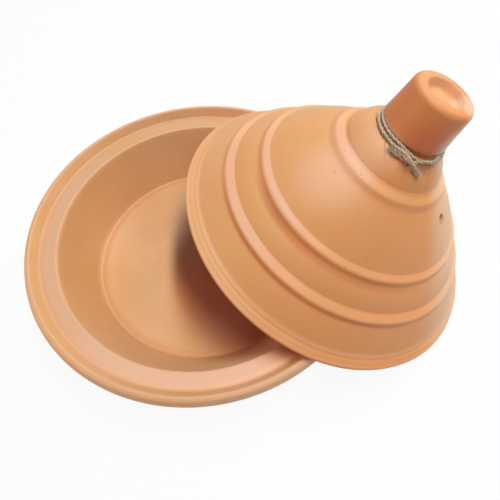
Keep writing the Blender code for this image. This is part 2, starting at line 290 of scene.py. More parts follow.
# The tinted sides are painted light and shade: a side is painted lighter, paler or pinker where light
# or a highlight falls on it, and darker where shade falls.
def tinted_sides(n, colour, x, y, radius, sides):
    """Tint the sides of a pot that face certain angles.

    Each of the sides is (strip, angle, low, high, share, colour): the cosine of the way round from the
    angle fades the tint in from low to high, on a marked strip of the profile or all over.
    """
    for strip, angle, low, high, share, shade in sides:
        turn = math.radians(angle)
        towards = n.maths("ADD", n.maths("MULTIPLY", x, math.cos(turn)),
                          n.maths("MULTIPLY", y, math.sin(turn)))
        amount = n.between(n.maths("DIVIDE", towards, radius), low, high, 0.0, share)
        if strip:
            amount = n.maths("MULTIPLY", amount, n.stored(strip))
        colour = n.blend(amount, colour, tint(*shade))
    return colour


# The soft balls are mostly painted light and shade too: pools of light, highlights and shadows. On the
# lid a row of small ones are real dark specks.
def tinted_patches(n, colour, inside, patches):
    """Each of the patches (centre, radius, share, colour) is a soft ball, full in its inner fifth."""
    for spot, size, share, shade in patches:
        away = n.add("ShaderNodeVectorMath", (0, inside), (1, spot), operation="DISTANCE", output=1)
        colour = n.blend(n.between(away, size, 0.2 * size, 0.0, share), colour, tint(*shade))
    return colour


def pits(n, inside):
    """Where the small pits are: the middles of the cells of a pattern, in one cell out of ten."""
    cells = n.tree.nodes.new("ShaderNodeTexVoronoi")
    n.tree.links.new(inside, cells.inputs["Vector"])
    cells.inputs["Scale"].default_value = 85.0
    of_cell = n.add("ShaderNodeSeparateColor", (0, cells.outputs["Color"]))
    chosen = n.maths("GREATER_THAN", of_cell, 0.90)
    return n.maths("MULTIPLY", n.between(cells.outputs["Distance"], 0.050, 0.025), chosen)


# %% The clay itself
def fired_clay(name, centre, lean, plain, pink, sides, patches, knob=1.0):
    """Terracotta whose rings run round an axis that passes through centre and leans about Y.

    Its colour drifts between a plain and a pinker one. Layers (pattern, low, high, share, colour) go
    over it: a mottle, the wheel's rings, the proud edges paler, partly as wear and partly as a painted
    highlight, the creases darker as painted shade, and the last two deepen it above the height `knob`,
    which a dish doesn't reach. Then come the tinted sides and patches, mostly painted light and shade,
    the grain, and the pits, darkened as painted shade.
    """
    n = Nodes(name)
    inside, x, y, z, radius = own_axes(n, centre, lean)
    drift = n.noise(inside, 14.0, 2.0)
    rings = n.add("ShaderNodeCombineXYZ", ("X", radius), ("Y", n.maths("MULTIPLY", drift, 0.012)),
                  ("Z", z))
    clouds = n.noise(inside, 11.0, 3.0, 0.55)
    mottle = n.noise(inside, 70.0, 4.0, 0.6)
    grain = n.noise(inside, 1500.0, 3.0, 0.7)
    wheel = n.noise(rings, 420.0, 3.0, 0.6)
    proud = n.stored("proud")
    pit = pits(n, inside)
    knob_rim = knob + 0.0264

    colour = n.blend(n.between(clouds, 0.35, 0.65), tint(*plain), tint(*pink))
    # The proud edges are painted paler, partly as wear and partly as a painted highlight, and the
    # creases darker, as painted shade.
    for pattern, low, high, share, shade in ((mottle, 0.40, 0.75, 0.25, (216, 154, 102)),
                                             (wheel, 0.35, 0.75, 0.10, (233, 180, 138)),
                                             (proud, 0.1, 1.0, 0.45, (240, 182, 146)),
                                             (proud, -0.2, -1.0, 0.25, (205, 128, 80)),
                                             (z, knob, knob + 0.0015, 1.0, (214, 134, 84)),
                                             (z, knob_rim, knob_rim + 0.0008, 0.7, (214, 142, 88))):
        colour = n.blend(n.between(pattern, low, high, 0.0, share), colour, tint(*shade))
    colour = tinted_sides(n, colour, x, y, radius, sides)
    colour = tinted_patches(n, colour, inside, patches)
    colour = n.blend(n.between(grain, 0.30, 0.70, 0.0, 0.18), colour, tint(205, 132, 84))
    # The pits are painted darker, as the shade inside them.
    colour = n.blend(n.maths("MULTIPLY", pit, 0.55), colour, tint(132, 72, 46))
    n.tree.links.new(colour, n.shader.inputs["Base Color"])

    matt = n.maths("ADD", n.maths("MULTIPLY", grain, 0.6), n.maths("MULTIPLY", mottle, 0.4))
    n.tree.links.new(n.between(matt, 0.3, 0.7, 0.50, 0.62), n.shader.inputs["Roughness"])
    n.shader.inputs["Specular IOR Level"].default_value = 0.50
    height = n.maths("ADD", n.maths("MULTIPLY", grain, 0.5), n.maths("MULTIPLY", wheel, 0.3))
    height = n.maths("SUBTRACT", height, n.maths("MULTIPLY", pit, 2.5))
    bump = n.add("ShaderNodeBump", ("Strength", 0.30), ("Distance", 0.00012), ("Height", height))
    n.tree.links.new(bump, n.shader.inputs["Normal"])
    return n.material


# %% [markdown]
# ## The dish
#
# The dish is flat below, flares up to a narrow seat for the lid, dips into a shallow moat that
# catches the steam's water, and ends in a rounded lip. It is one closed skin of clay, so its profile
# starts in the middle of the bowl's floor, goes over the lip and comes back under the foot.

# %% Profile of the dish
DISH = [(0.0, 9.0, 0.0, 2.6), (85.7, 9.0, 4.8, 0.8), (90.5, 8.2, 2.5, 1.8),
        (111.9, 50.6, 1.5, 0.9), (121.0, 51.0, 5.0, 0.7), (125.0, 50.3, 2.6, 0.7),
        (129.6, 58.4, 1.3, 0.6), (132.7, 57.2, 2.8, 0.8), (135.0, 52.1, 2.5, 0.9),
        (132.5, 44.3, 2.5, 1.3), (120.3, 40.1, 8.4, 2.2), (98.9, 1.6, 1.6, 0.6),
        (97.3, 0.0, 0.3, 6.0), (0.0, 0.0, 0.0, 6.0)]
dish_line = softened(DISH)
print("dish profile:", len(dish_line), "points")


# %% Turn a pot
def thrown(profile, columns, first_angle, edge, wander=0.05, mean=31):
    """A grid of points: (r cos a, r sin a, h), where r is the profile's reach and what bends it.

    The wander is a wave of two and three swells round the pot that fades on the axis, as a pot that
    was lifted wet from the wheel has. Each line of the edge is an angle in degrees, how far the
    widest part is out of round there, and how far the belly is. A mean of columns softens both. The
    widest part fades in from 85 to 120 mm out. The belly fades in from 22 mm and out at 112 mm.
    """
    angle = first_angle + np.arange(columns) * 2.0 * math.pi / columns
    swell = wander * (np.cos(2.0 * angle + 0.8) + 0.6 * np.cos(3.0 * angle - 1.1))
    out = profile[:, :1]
    reach = out + swell * ramp(out, 0.0, 60.0)
    widest_part, the_belly = ramp(out, 85.0, 35.0), ramp(out, 22.0, 6.0) * ramp(out, 112.0, -25.0)
    spots, *changes = np.array(edge, float).T
    soft = np.hanning(mean) / np.hanning(mean).sum()
    for change, share in zip(changes, (widest_part, the_belly)):
        bend = np.interp(np.degrees(angle) % 360.0, spots, change, period=360.0)
        reach = reach + share * np.convolve(np.tile(bend, 3), soft, "same")[columns:-columns]
    return np.stack([reach * np.cos(angle), reach * np.sin(angle),
                     profile[:, 1:] + 0.0 * angle], axis=2)


def closed_pot(name, profile, grid, material, place=None, missing=None, extra=(), strips=()):
    """Close a turned grid at its two poles and make it a piece. Grid and profile are in millimetres.

    Squares marked as missing are left out, and extra is pairs of points and faces to add. Strips are
    pairs of a name and a share for each point of the profile, kept for the material.
    """
    rows, columns = len(grid) - 2, grid.shape[1]
    poles = np.array([[0.0, 0.0, profile[0, 1]], [0.0, 0.0, profile[-1, 1]]])
    points = np.concatenate([grid[1:-1].reshape(-1, 3), poles] + [e[0] for e in extra]) / 1000.0
    body = quads(rows, columns).reshape(-1, 4)
    if missing is not None:
        body = body[~missing.ravel()]
    faces = [body, fans(rows, columns)] + [e[1] for e in extra]
    if place is not None:
        points = place(points)
    piece, used = new_piece(name, points, faces, material)
    for key, share in [("proud", bent_outwards(profile)), *strips]:
        values = np.repeat(share[1:-1], columns)
        mark(piece, used, key, np.concatenate([values, np.zeros(len(points) - len(values))]))
    return piece


# %% Painted light and shade on the dish, and the dish itself
# Painted light and shade on the dish: the seat is painted paler and pinker as a highlight at the front,
# and darker as shade on the left and far side. The inner wall is painted darker on the left and lighter
# at the far and near sides, and a pale bluish tint is the cool light in its shade at the front right.
# The floor's right half is painted darker as the lid's shadow, and its corner as shade.
PAINTED_LIGHT_DISH = [("seat", 235.0, -0.6, 0.4, 0.65, (240, 190, 156)),
              ("seat", 185.0, 0.3, 0.95, 0.40, (206, 162, 138)),
              ("seat", 262.0, 0.7, 0.98, 0.50, (242, 192, 168)),
              ("wall", 178.0, 0.2, 0.95, 0.62, (196, 138, 88)),
              ("wall", 100.0, 0.2, 0.95, 0.20, (232, 168, 120)),
              ("wall", 250.0, 0.5, 0.98, 0.60, (234, 178, 128)),
              ("seat", 90.0, 0.3, 0.95, 0.45, (206, 158, 118)),
              ("wall", 308.0, 0.80, 0.99, 0.50, (240, 196, 186)),
              ("floor", 0.0, -0.6, 0.2, 0.45, (206, 148, 102)),
              ("corner", 0.0, -1.5, -1.2, 0.35, (200, 136, 88))]
# Painted light and shade on the bowl's floor: one ball is a painted shade at the back left, and two are
# pale and reddish painted light bounced into the lid's shadow.
PAINTED_LIGHT_PATCHES_DISH = [((-0.045, 0.048, 0.009), 0.050, 0.35, (190, 132, 88)),
                ((0.018, -0.055, 0.009), 0.045, 0.45, (250, 200, 170)),
                ((-0.006, -0.032, 0.009), 0.038, 0.60, (255, 168, 118))]
EDGE_DISH = [(70, 0.1, 0.0), (110, -0.2, 0.0), (150, 0.0, 0.0), (180, -0.2, 0.0), (250, 0.0, 0.0),
             (330, 0.0, 0.0)]
clay_of_dish = fired_clay("fired clay of the dish", (0.0, 0.0, 0.0), 0.0, (224, 171, 119),
                          (229, 178, 138), PAINTED_LIGHT_DISH, PAINTED_LIGHT_PATCHES_DISH)
dish_grid = thrown(dish_line, 360, 0.0, EDGE_DISH)
reach = dish_line[:, 0]
upper = np.arange(len(dish_line)) < np.argmax(reach)
strips_dish = [("seat", upper * ramp(reach, 112.0, 1.5) * ramp(reach, 124.5, -1.5)),
               ("wall", upper * ramp(reach, 91.0, 2.0) * ramp(reach, 111.5, -1.5)),
               ("floor", upper * ramp(reach, 90.0, -4.0)),
               ("corner", upper * np.exp(-((reach - 87.0) / 2.2) ** 2))]
dish = closed_pot("dish_surface", dish_line, dish_grid, clay_of_dish, strips=strips_dish)
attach(dish, "dish")
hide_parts("base_dish")

# %% [markdown]
# ## The lid
#
# The lid is a cone that bellies out low down. Three ridges step it. Each has a soft crease above it,
# a round nose and a hollow cove under the nose. On top sits a solid knob with a thumb's hollow in it.
# The belly is one formula, and each ridge is three corners hung on it, so the ridges follow the cone
# however it is drawn. A tier is the ridge's height and its three spots, then how far the wall under
# it bows out, and how finely that bow is cut. Inside, the wall follows the belly at one distance,
# measured level through the slope.

# %% Profile of the lid
FASCIA = (113.4, 5.8)
NECK = (20.9, 98.3)
BULGE = 0.35


def belly(height):
    """The cone's reach at a height: straight from the fascia to the neck, plus a bulge of t(1-t)^2."""
    t = (height - FASCIA[1]) / (NECK[1] - FASCIA[1])
    return NECK[0] + (FASCIA[0] - NECK[0]) * ((1.0 - t) + BULGE * t * (1.0 - t) ** 2)


def bowed(start, end, rise, cut):
    """Three corners on a shallow bow between two corners: the chord plus 4 rise t(1-t) outwards."""
    t = np.array([0.25, 0.5, 0.75])
    (r0, h0), (r1, h1) = start[:2], end[:2]
    length = math.hypot(r1 - r0, h1 - h0)
    out = 4.0 * rise * t * (1.0 - t) / length
    return [(r, h, 400.0, cut) for r, h in zip(r0 + (r1 - r0) * t + (h0 - h1) * out,
                                              h0 + (h1 - h0) * t + (r1 - r0) * out)]


def ridge(height, spots, cut):
    """A ridge from the top down: a soft crease above its ledge, a round nose, and the cove under it.

    Each spot is (out, up, round), measured from the cone's belly at the ridge's height.
    """
    return [(belly(height) + out, height + up, rounding, step)
            for (out, up, rounding), step in zip(spots, (0.6, 0.6, cut))]


LID = [(0.0, 126.9, 0.0, 1.6), (8.9, 126.2, 2.4, 0.7), (12.8, 130.1, 1.4, 0.7),
       (20.2, 130.1, 3.6, 1.3), (22.6, 102.3, 0.9, 0.6), (20.9, 102.0, 0.3, 0.7),
       (*NECK, 4.5, 1.0)]
TIERS = [(79.8, [(-5.4, 2.7, 1.5), (1.0, -1.1, 4.0), (3.4, -4.7, 7.0)], 1.2, 1.15),
         (46.2, [(-3.4, 1.7, 2.5), (1.0, -0.5, 2.6), (2.2, -4.5, 3.5)], 0.9, 1.6),
         (26.3, [(-4.9, 2.6, 2.5), (1.0, -0.4, 2.4), (2.0, -4.1, 3.0)], 0.5, 1.7)]
ridges = [ridge(height, spots, cut) for height, spots, rise, cut in TIERS]
ends = [ridges[1][0], ridges[2][0], FASCIA]
LID += bowed(LID[-1], ridges[0][0], 1.8, 1.0)
for steps, end, (height, spots, rise, cut) in zip(ridges, ends, TIERS):
    LID += steps + bowed(steps[-1], end, rise, cut)
INNER_RIM, WALL_LEVEL, TIP = 112.9, 9.9, 5.2
LID += [(*FASCIA, 2.5, 0.35), (120.4, 2.2, 1.4, 0.5), (120.4, 0.0, 0.9, 0.8),
        (INNER_RIM, 0.0, 1.5, 1.2)]
LID += [(max(min(belly(h) - WALL_LEVEL, INNER_RIM), TIP), h, 60.0, 1.7)
        for h in np.linspace(FASCIA[1], 93.3, 8)]
LID += [(2.6, 97.3, 2.0, 1.5), (0.0, NECK[1], 0.0, 1.5)]
lid_line = softened(LID)
print("lid profile:", len(lid_line), "points")

# %% [markdown]
# ## Lines on the lid's edge, and the vent
#
# The turning tool left a low bead and a few fine lines on the sloping edge above the rim. They are
# grooves in the profile itself, and the bead is a groove whose depth is negative. The steam vent is a
# round hole through the wall. A Boolean would leave a ragged ring of slivers, so the grid's own
# squares are drawn together into circles round the vent instead, the inner squares are left out, and
# a short sleeve joins the outside to the inside. Each end of the vent is a height and a radius. The
# number of columns keeps the lid just under 200,000 triangles.

# %% Cut the fine lines
def grooved(profile, spots):
    """Move the profile's points inwards by soft grooves, each depth times exp(-(d/width)^2).

    A spot is (out, up, depth, width), and a depth below nothing raises a bead.
    """
    way = way_along(profile)
    slope = np.gradient(profile, axis=0)
    inwards = unit(np.stack([slope[:, 1], -slope[:, 0]], axis=1))
    out, up, depth, width = np.array(spots).T
    places = way[np.argmin(np.hypot(profile[:, :1] - out, profile[:, 1:] - up), axis=0)]
    cut = (depth * np.exp(-((way[:, None] - places) / width) ** 2)).sum(axis=1)
    return profile + inwards * cut[:, None]


FINE_LINES = [(113.5, 5.9, -0.50, 1.0), (115.3, 4.8, 0.10, 0.6), (116.9, 4.0, -0.07, 0.5),
              (118.2, 3.3, 0.04, 0.3)]
lid_line = grooved(lid_line, FINE_LINES)
outside = np.arange(len(lid_line)) < np.argmax(lid_line[:, 0])
print("bead and lines on the edge:", len(FINE_LINES))


# %% Mark a strip on each ridge
BLUR = 0.6


def strips(profile, low, high, most=(1.0, 1.0, 1.0)):
    """A share on each ridge's strip between two heights from its own, and 0 away from it.

    Low, high and the most that the share reaches are given for each ridge, from the top one down.
    """
    height = profile[:, 1:] - np.array([tier[0] for tier in TIERS])
    inside = (ramp(height, np.array(low) - BLUR / 2.0, BLUR)
              * ramp(height, np.array(high) + BLUR / 2.0, -BLUR))
    return (inside * most).max(axis=1) * outside


# %% Draw the grid together round the vent
def ringed(grid, row, column, radius, hole, reach):
    """Turn square rings of a grid into round ones about one of its points.

    Ring n is n squares from the middle. Its direction from the middle is kept, and its distance is
    blended from its own, at the outermost ring, to a circle of the given radius at the hole.
    """
    rows = np.arange(-reach, reach + 1)
    patch = grid[row - reach:row + reach + 1, column - reach:column + reach + 1]
    middle = grid[row, column]
    down = unit(grid[row + 1, column] - grid[row - 1, column])
    aside = unit(grid[row, column + 1] - grid[row, column - 1])
    ring = np.maximum(abs(rows[:, None]), abs(rows))
    u = (patch - middle) @ aside
    v = (patch - middle) @ down
    off = (patch - middle) - u[..., None] * aside - v[..., None] * down
    size = np.maximum(np.hypot(u, v), 1e-9)
    edge = np.abs(u[reach, -1])
    circle = radius + (edge - radius) * (ring - hole) / (reach - hole)
    share = np.clip((reach - ring) / (reach - hole), 0.0, 1.0)
    scale = ((1.0 - share) + share * circle / size)[..., None]
    patch[:] = middle + scale * (u[..., None] * aside + v[..., None] * down + off)
    return middle


def square_loop(row, column, hole, columns, flip):
    """Point numbers round a square hole, in order; flip walks it mirrored in its rows."""
    side = np.arange(-hole, hole)
    di = np.concatenate([np.full(2 * hole, -hole), side, np.full(2 * hole, hole), -side])
    dj = np.concatenate([side, np.full(2 * hole, hole), -side, np.full(2 * hole, -hole)])
    return (row - 1 + di * (-1 if flip else 1)) * columns + column + dj


# %% Turn the lid and open its vent
COLUMNS = 276
VENT_ANGLE = math.radians(-46.5)
VENT_COLUMN = COLUMNS // 2
VENT_OUTSIDE, VENT_INSIDE = (67.8, 3.4), (62.3, 3.3)
HOLE, REACH = 3, 8
KNOB_FOOT = 101.95
KNOB_ASIDE = (-0.2, 0.4, 0.0)
EDGE_LID = [(0, 0.0, 0.3), (20, -0.2, 0.0), (60, -0.8, 1.4), (90, -1.1, 1.8), (115, -1.0, 1.9),
            (150, -0.2, 0.8), (200, 0.0, 0.0), (220, 0.6, 0.0), (240, 0.9, 0.0), (262, 1.2, 0.0),
            (278, 0.4, 0.0), (295, 0.1, 0.0), (318, -1.3, -0.2), (334, -2.3, 0.2), (345, -1.4, 0.5)]
first_angle = VENT_ANGLE - VENT_COLUMN * 2.0 * math.pi / COLUMNS
lid_grid = thrown(lid_line, COLUMNS, first_angle, EDGE_LID)
lid_grid[lid_line[:, 1] > KNOB_FOOT] += KNOB_ASIDE
vent_row = np.argmin(np.where(outside, abs(lid_line[:, 1] - VENT_OUTSIDE[0]), np.inf))
inner_row = np.argmin(np.where(outside, np.inf, abs(lid_line[:, 1] - VENT_INSIDE[0])))
middle_out = ringed(lid_grid, vent_row, VENT_COLUMN, VENT_OUTSIDE[1], HOLE, REACH)
middle_in = ringed(lid_grid, inner_row, VENT_COLUMN, VENT_INSIDE[1], HOLE, REACH)
print("vent from", np.round(middle_out, 1), "to", np.round(middle_in, 1), "mm")

# %% Sleeve of the vent
# At each depth, a share of the way in, the sleeve is narrowed to a share of the loops' own size.
outer_loop = square_loop(vent_row, VENT_COLUMN, HOLE, COLUMNS, False)
inner_loop = square_loop(inner_row, VENT_COLUMN, HOLE, COLUMNS, True)
flat_grid = lid_grid[1:-1].reshape(-1, 3)
depth = np.array([0.05, 0.12, 0.3, 0.5, 0.7, 0.88, 0.95])[:, None, None]
narrow = np.array([0.94, 0.90, 0.89, 0.89, 0.89, 0.90, 0.94])[:, None, None]
spokes = ((1.0 - depth) * (flat_grid[outer_loop] - middle_out)
          + depth * (flat_grid[inner_loop] - middle_in))
sleeve = (1.0 - depth) * middle_out + depth * middle_in + narrow * spokes
numbers = len(flat_grid) + 2 + np.arange(sleeve.shape[0] * sleeve.shape[1]).reshape(sleeve.shape[:2])
rings = np.concatenate([outer_loop[None], numbers, inner_loop[None]])
onward = np.roll(rings, -1, axis=1)
sleeve_faces = np.stack([rings[:-1], onward[:-1], onward[1:], rings[1:]], axis=2).reshape(-1, 4)

row_number, column_number = np.arange(len(lid_line) - 3)[:, None], np.arange(COLUMNS)
missing = np.zeros((len(lid_line) - 3, COLUMNS), bool)
for row in (vent_row - 1, inner_row - 1):
    missing |= (abs(row_number - row + 0.5) < HOLE) & (abs(column_number - VENT_COLUMN + 0.5) < HOLE)
print("squares left out:", missing.sum())

# %% [markdown]
# ## The lid in its place, and its tints
#
# The lid lies tilted on the dish, but it is far easier to draw upright. So it is drawn on its own axis,
# and its points are carried into place at the end, by a turn about Y and a shift. A parent object
# could do that too, but a finished piece keeps its place in its mesh. The noses are painted paler,
# partly as wear and partly as a painted highlight. The creases, the coves, the rim's foot and two
# sides are painted darker as shade, the vent's inside is a painted shadow, and a few sides and small
# balls on the cone and the knob carry painted highlights, sheen and pools of light. A row of dark
# specks runs along the top ridge. Each of these is a tint on a strip or a small ball. A speck is
# given by its reach, its height and its angle.

# %% Lean the lid where it lies
LEAN = math.radians(22.4)
RIM_CENTRE = np.array([0.10613, 0.0, 0.04591])


def round_lid(out, up, angle):
    """A place by its reach, its height and its angle in degrees round the lid's axis."""
    turn = math.radians(angle)
    return np.array([out * math.cos(turn), out * math.sin(turn), up])


def leant(points):
    """Carry points from the lid's own upright frame to where the lid leans on the dish."""
    x, y, z = points.T
    return np.stack([x * math.cos(LEAN) + z * math.sin(LEAN), y,
                     z * math.cos(LEAN) - x * math.sin(LEAN)], axis=1) + RIM_CENTRE


print("tip of the axis, mm:", np.round(leant(np.array([[0.0, 0.0, 0.130]]))[0] * 1000.0, 1))

# %% Wear, specks, and painted light and shade on the lid, and the lid itself
# Tints of the lid's sides: the noses are paler all round, partly wear and partly a painted highlight,
# and pinker on the left as a painted highlight. The creases, coves and rim's foot on the left and front
# are painted darker as shade, and so are the front and far sides. The fascia's bead is a painted
# highlight, and the right side a painted sheen.
WEAR_AND_PAINTED_LIGHT_LID = [("rubbed_and_highlit", 200.0, -1.5, -1.2, 0.85, (254, 190, 140)),
             ("rubbed_and_highlit", 186.0, 0.62, 0.99, 0.85, (226, 170, 144)),
             ("crease", 205.0, 0.30, 0.95, 0.55, (176, 108, 62)),
             ("bead", 240.0, -0.30, 0.80, 0.60, (250, 200, 160)),
             ("cove", 232.0, 0.50, 0.97, 0.75, (182, 94, 48)),
             (None, 265.0, 0.45, 0.95, 0.60, (219, 134, 74)),
             ("foot", 238.0, 0.40, 0.95, 0.55, (150, 76, 46)),
             (None, 335.0, 0.70, 0.98, 0.60, (230, 192, 168)),
             (None, 105.0, 0.70, 0.97, 0.45, (206, 154, 110))]
# Among the lid's balls, the floor of the knob's hollow is painted lighter as a pool of light, the
# knob's front is painted deeper red as shade, its right side pale as a painted sheen, and two pale pink
# balls on the cone's left are a painted highlight.
PATCHES_LID = [((0.0, 0.0, 0.126), 0.0095, 0.60, (232, 168, 122)),
               ((-0.004, -0.022, 0.110), 0.021, 0.65, (208, 98, 58)),
               ((0.021, -0.012, 0.112), 0.024, 1.00, (250, 226, 214)),
               ((-0.046, -0.0195, 0.068), 0.032, 0.50, (243, 189, 163)),
               ((-0.030, -0.0150, 0.088), 0.024, 0.40, (240, 186, 152))]
SPECKS = [(39.8, 79.6, 182.0), (40.6, 79.0, 187.0), (40.1, 79.4, 191.0), (40.9, 78.8, 195.0),
          (40.3, 79.3, 199.0), (41.0, 78.8, 203.0), (40.2, 79.3, 208.0), (40.8, 79.0, 212.0),
          (40.3, 79.4, 218.0), (40.9, 78.9, 222.0), (40.5, 79.2, 230.0), (48.1, 71.9, 203.0),
          (88.2, 34.2, 245.5), (71.3, 50.9, 253.5), (113.9, 5.5, 179.0), (119.6, 2.6, 218.5)]
for number, speck in enumerate(SPECKS):
    size = 0.0006 + 0.0001 * (number % 3)
    PATCHES_LID.append((tuple(round_lid(*speck) / 1000.0), size, 0.65, (158, 88, 60)))
# A dark ball inside the vent is a painted shadow.
shadow_in_the_vent = (0.6 * middle_out + 0.4 * middle_in) / 1000.0
PATCHES_LID.append((tuple(shadow_in_the_vent), 0.0042, 0.85, (92, 46, 30)))
clay_of_lid = fired_clay("fired clay of the lid", tuple(RIM_CENTRE), LEAN, (225, 163, 106),
                         (228, 168, 122), WEAR_AND_PAINTED_LIGHT_LID, PATCHES_LID, knob=0.1026)
reach, height = lid_line.T
strips_lid = [("rubbed_and_highlit", strips(lid_line, (-1.2, -0.9, -0.2), (1.4, 1.8, 2.4))),
              ("cove", strips(lid_line, (-6.5, -6.8, -4.4), (-2.0, -2.0, -1.2), (0.25, 1.0, 1.0))),
              ("crease", strips(lid_line, (1.9, 0.0, 0.0), (3.6, 0.0, 0.0), (1.0, 0.0, 0.0))),
              ("bead", outside * np.exp(-((reach - 113.8) / 1.1) ** 2)),
              ("foot", ramp(reach, 118.5, 0.8) * ramp(height, 1.9, -0.6))]
lid = closed_pot("lid_surface", lid_line, lid_grid, clay_of_lid, leant, missing,
                 [(sleeve.reshape(-1, 3), sleeve_faces)], strips_lid)
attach(lid, "lid")
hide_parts("lid")
low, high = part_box("lid")
co = np.empty(len(lid.data.vertices) * 3, np.float32)
lid.data.vertices.foreach_get("co", co)
print("lid against its solid, mm:", np.round((co.reshape(-1, 3).min(0) - np.array(low)) * 1000, 2),
      np.round((co.reshape(-1, 3).max(0) - np.array(high)) * 1000, 2))

# %% [markdown]
# ## The twine
#
# A length of jute twine goes twice round the neck, under the knob, and is tied in front. It is two
# plies laid round each other, and each ply is a bundle of coarse fibres. A plain tube with a twist
# painted on would look like wire, so the plies are real: two tubes wound about the same line, each
# with lobes for its fibre bundles. The line is a list of places in the lid's own frame: the angle in
# degrees, the reach and the height in millimetres. The turns between the ends are worked out.

# %% The line that the twine follows
FIRST_END = [(-138, 26.0, 96.9), (-131, 26.1, 96.8), (-124, 26.3, 96.7), (-116, 26.3, 96.6),
             (-108, 26.1, 97.2), (-100, 26.2, 99.1), (-92, 26.1, 100.6), (-84, 26.0, 101.0),
             (-76, 25.5, 101.1), (-68, 23.9, 101.3)]
turn = range(-58, 558, 15)
bends = [-58, 212, 227, 242, 257, 272, 557]
TURNS = list(zip(turn, np.interp(turn, bends, [22.5, 22.5, 22.5, 22.6, 23.4, 23.6, 23.6]),
                 np.interp(turn, bends, [101.1, 101.1, 100.9, 99.6, 98.6, 98.4, 98.4])))
SECOND_END = [(578, 23.6, 98.4), (585, 24.4, 99.1), (592, 25.7, 100.2), (599, 27.0, 100.7),
              (606, 28.3, 99.9), (612, 28.9, 98.4), (617, 28.7, 96.6), (622, 28.5, 94.9),
              (626, 29.1, 94.1)]


def smooth_line(keys, step):
    """A curve through key points: between two of them, cubic weights of the four nearest keys."""
    angle, reach, height = np.array(keys, float).T
    turn = np.radians(angle)
    keys = np.stack([reach * np.cos(turn), reach * np.sin(turn), height], axis=1)
    padded = np.concatenate([2 * keys[:1] - keys[1:2], keys, 2 * keys[-1:] - keys[-2:-1]])
    spot = np.linspace(0.0, len(keys) - 1.001, 4000)
    k, t = spot.astype(int), (spot % 1.0)[:, None]
    a, b, c, d = padded[k], padded[k + 1], padded[k + 2], padded[k + 3]
    dense = 0.5 * (2 * b + (c - a) * t + (2 * a - 5 * b + 4 * c - d) * t ** 2
                   + (3 * b - a - 3 * c + d) * t ** 3)
    way = way_along(dense)
    even = np.linspace(0.0, way[-1], int(way[-1] / step))
    return np.stack([np.interp(even, way, column) for column in dense.T], axis=1), even


twine_path, twine_way = smooth_line(FIRST_END + TURNS + SECOND_END, 0.45)
print("twine:", round(twine_way[-1]), "mm long,", len(twine_path), "steps")


# %% Lay two plies along it
LAY, PLY_OUT, PLY_RADIUS = 6.5, 0.50, 0.58
SIDES, LOBES, LOBE_LAY, LOBE_RISE = 14, 7.0, 4.2, 0.07


def directions(path):
    """Three directions at each step: away from the neck's axis, across that and the path, and ahead."""
    ahead = unit(np.gradient(path, axis=0))
    out = path * np.array([1.0, 1.0, 0.0])
    out = unit(out - (out * ahead).sum(axis=1, keepdims=True) * ahead)
    return out, np.cross(ahead, out), ahead


def tube(path, out, across, reach):
    """A closed tube: path + reach (cos b out + sin b across), with reach given for each step and b."""
    around = np.linspace(0.0, 2.0 * math.pi, reach.shape[1], endpoint=False)
    skin = path[:, None] + reach[..., None] * (np.cos(around)[:, None] * out[:, None]
                                               + np.sin(around)[:, None] * across[:, None])
    points = np.concatenate([skin.reshape(-1, 3), path[:1], path[-1:]])
    return points, quads(*reach.shape).reshape(-1, 4)[:, ::-1], fans(*reach.shape)[:, [0, 2, 1]]


def ply(phase):
    """One ply: a tube whose line circles the twine's own line once every LAY millimetres.

    Its reach is PLY_RADIUS, times 1 + LOBE_RISE cos(LOBES b), times a slow unevenness, and it tapers
    as a root at both ends.
    """
    turn = (phase + 2.0 * math.pi * twine_way / LAY)[:, None]
    towards = np.cos(turn) * twine_out + np.sin(turn) * twine_across
    beside = np.cos(turn) * twine_across - np.sin(turn) * twine_out
    ends = np.minimum(twine_way, twine_way[-1] - twine_way)[:, None]
    taper = np.clip(ends / 1.6, 0.25, 1.0) ** 0.5
    uneven = 1.0 + 0.07 * (np.sin(twine_way * 1.9 + phase) * np.sin(twine_way * 0.53))[:, None]
    around = np.linspace(0.0, 2.0 * math.pi, SIDES, endpoint=False)
    lobes = 1.0 + LOBE_RISE * np.cos(LOBES * around - 2.0 * math.pi * twine_way[:, None] / LOBE_LAY)
    return tube(twine_path + PLY_OUT * towards, towards, beside, PLY_RADIUS * taper * uneven * lobes)


def joined(name, tubes, material):
    """One piece of several tubes: each tube's corner numbers move on by the points before it."""
    starts = np.cumsum([0] + [len(tube[0]) for tube in tubes])
    points = leant(np.concatenate([tube[0] for tube in tubes]) / 1000.0)
    faces = [tube[kind] + start for kind in (1, 2) for tube, start in zip(tubes, starts)]
    return new_piece(name, points, faces, material)


twine_out, twine_across, twine_ahead = directions(twine_path)
plies = [ply(0.0), ply(math.pi)]
print("plies:", len(plies), "of", len(plies[0][0]), "points")

# %% [markdown]
# ## Twine material
#
# Jute is a dull grey beige, darker between the fibres. Long fine streaks run along each ply. The
# streaks are noise squeezed round the ply and stretched along it, so they need the ply's own
# numbers: how far along, and how far round. Both are stored on the points when the twine is made,
# with a shift for the second ply, so that the two plies have streaks of their own. The way round is
# folded in the middle, so that no seam shows where it starts again.

